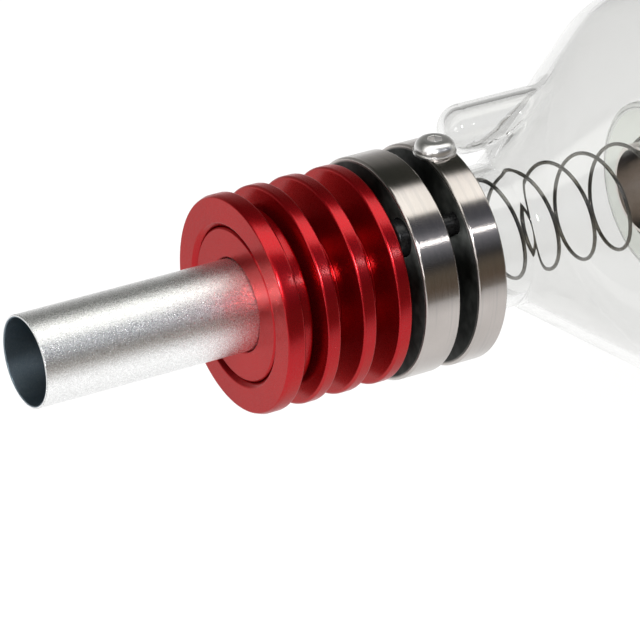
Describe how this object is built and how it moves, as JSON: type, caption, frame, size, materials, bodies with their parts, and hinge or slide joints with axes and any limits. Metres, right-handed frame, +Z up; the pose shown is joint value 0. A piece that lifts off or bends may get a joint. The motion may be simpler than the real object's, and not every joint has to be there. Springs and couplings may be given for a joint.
{
  "type": "co2 laser tube",
  "caption": "Sealed glass gas laser tube with water jacket, finned red mirror cooler, bare output nozzle and steel mirror mounts at both ends.",
  "frame": {"origin": "on the optical axis, at the middle of the straight glass body that a clamp holds", "axes": "+X along the optical axis toward the rear mirror, so the beam leaves toward -X; +Z up, through the water outlet and both terminals"},
  "size_m": [1.0538, 0.08, 0.0991],
  "materials": {
    "nozzle_aluminium": "sand-blasted, silver anodised",
    "red_anodised": "turned, red anodised, satin",
    "turned_steel": "turned and polished stainless steel",
    "stainless_fastener": "bright stainless steel",
    "black_oxide": "black oxide",
    "clear_glass": "clear borosilicate, fire polished",
    "output_window": "coated zinc selenide, amber",
    "mirror_coating": "gold coated",
    "seal_rubber": "matt black",
    "electrode_metal": "rolled nickel sheet, heat tinted",
    "spring_wire": "drawn spring wire",
    "support_steel": "pressed stainless strip",
    "cap_aluminium": "turned, silver anodised"
  },
  "bodies": {
    "root": {"output_nozzle": "nozzle_aluminium", "nozzle_retainer": "red_anodised", "heat_sink": "red_anodised", "output_mirror": "output_window", "output_mirror_seal": "seal_rubber", "front_mirror_mount": "turned_steel", "front_adjusting_screws": "black_oxide", "terminal_screw": "stainless_fastener", "terminal_washer": "stainless_fastener", "glass_envelope": "clear_glass", "water_jacket": "clear_glass", "discharge_tube": "clear_glass", "gas_return_coil": "clear_glass", "water_outlet": "clear_glass", "water_inlet": "clear_glass", "jacket_supports": "support_steel", "contact_spring": "spring_wire", "cathode": "electrode_metal", "cathode_supports": "support_steel", "anode_chamber": "clear_glass", "anode": "electrode_metal", "anode_pin": "stainless_fastener", "rear_mirror_mount": "turned_steel", "rear_adjusting_screws": "black_oxide", "rear_mirror": "mirror_coating", "rear_mirror_seal": "seal_rubber", "rear_cap": "cap_aluminium"}
  },
  "joints": []
}
